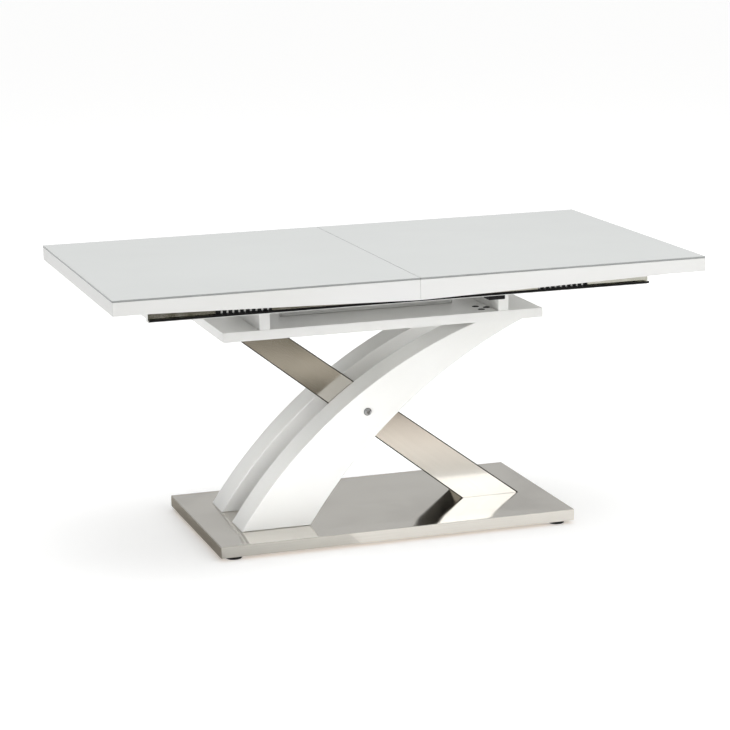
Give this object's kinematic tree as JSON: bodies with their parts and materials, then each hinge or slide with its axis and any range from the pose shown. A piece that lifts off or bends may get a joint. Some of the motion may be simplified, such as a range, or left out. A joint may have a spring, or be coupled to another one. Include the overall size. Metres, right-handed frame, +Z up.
{
  "type": "extendable dining table",
  "caption": "Rectangular extendable dining table: white glass top in two halves that slide apart, apron boards, crossed arch and steel pedestal, flat steel-clad base.",
  "frame": {"origin": "on the floor, under the middle of the closed table", "axes": "+X along the table's length, +Y to the back, +Z up"},
  "size_m": [1.6, 0.9, 0.75],
  "materials": {
    "glass": "back-painted toughened glass, light cool grey-white, polished, ground edges",
    "lacquer": "satin white lacquer on fibreboard",
    "board": "raw fibreboard core, hidden under sheet metal",
    "stainless": "finely brushed, nearly mirror-bright stainless sheet",
    "slide_steel": "zinc-plated rolled steel",
    "black_plastic": "moulded black plastic",
    "chrome": "polished chrome plate",
    "bolt_steel": "black oxide steel",
    "beech": "plain beech dowel"
  },
  "bodies": {
    "pedestal": {"base_board": "board", "base_cover": "stainless", "front_left_foot": "black_plastic", "front_right_foot": "black_plastic", "rear_left_foot": "black_plastic", "rear_right_foot": "black_plastic", "front_arch": "lacquer", "rear_arch": "lacquer", "cross_leg_core": "board", "cross_leg_cover": "stainless", "crossing_bolt": "chrome", "crossing_nut": "chrome", "upper_plate": "lacquer", "front_arch_bolt_1": "bolt_steel", "front_arch_bolt_2": "bolt_steel", "front_arch_bolt_3": "bolt_steel", "rear_arch_bolt_1": "bolt_steel", "rear_arch_bolt_2": "bolt_steel", "rear_arch_bolt_3": "bolt_steel", "cross_leg_bolt_1": "bolt_steel", "cross_leg_bolt_2": "bolt_steel", "left_cross_board": "lacquer", "right_cross_board": "lacquer", "left_end_board": "lacquer", "right_end_board": "lacquer", "leaf_rest": "lacquer", "lock_block": "black_plastic", "front_rail": "lacquer", "rear_rail": "lacquer", "front_channel": "slide_steel", "rear_channel": "slide_steel", "leaf_board": "lacquer", "leaf_glass": "glass", "leaf_left_skirt": "lacquer", "leaf_right_skirt": "lacquer"},
    "left_top": {"left_glass": "glass", "left_board": "lacquer", "left_end_skirt": "lacquer", "left_front_skirt": "lacquer", "left_rear_skirt": "lacquer", "left_front_runner": "slide_steel", "left_rear_runner": "slide_steel", "left_front_batten": "lacquer", "left_rear_batten": "lacquer", "front_dowel": "beech", "rear_dowel": "beech"},
    "right_top": {"right_glass": "glass", "right_board": "lacquer", "right_end_skirt": "lacquer", "right_front_skirt": "lacquer", "right_rear_skirt": "lacquer", "right_front_runner": "slide_steel", "right_rear_runner": "slide_steel", "right_front_batten": "lacquer", "right_rear_batten": "lacquer"},
    "left_cages": {"left_front_cage": "black_plastic", "left_rear_cage": "black_plastic"},
    "right_cages": {"right_front_cage": "black_plastic", "right_rear_cage": "black_plastic"}
  },
  "joints": [
    {"name": "left_top_slide", "type": "slide", "parent": "pedestal", "child": "left_top", "axis": [-1, 0, 0], "range_m": [0, 0.3]},
    {"name": "right_top_slide", "type": "slide", "parent": "pedestal", "child": "right_top", "axis": [1, 0, 0], "range_m": [0, 0.3]},
    {"name": "left_cage_slide", "type": "slide", "parent": "pedestal", "child": "left_cages", "axis": [-1, 0, 0], "range_m": [0, 0.15]},
    {"name": "right_cage_slide", "type": "slide", "parent": "pedestal", "child": "right_cages", "axis": [1, 0, 0], "range_m": [0, 0.15]}
  ],
  "couplings": [
    {"joint": "left_cage_slide", "follows": "left_top_slide", "ratio": 0.5},
    {"joint": "right_cage_slide", "follows": "right_top_slide", "ratio": 0.5}
  ]
}
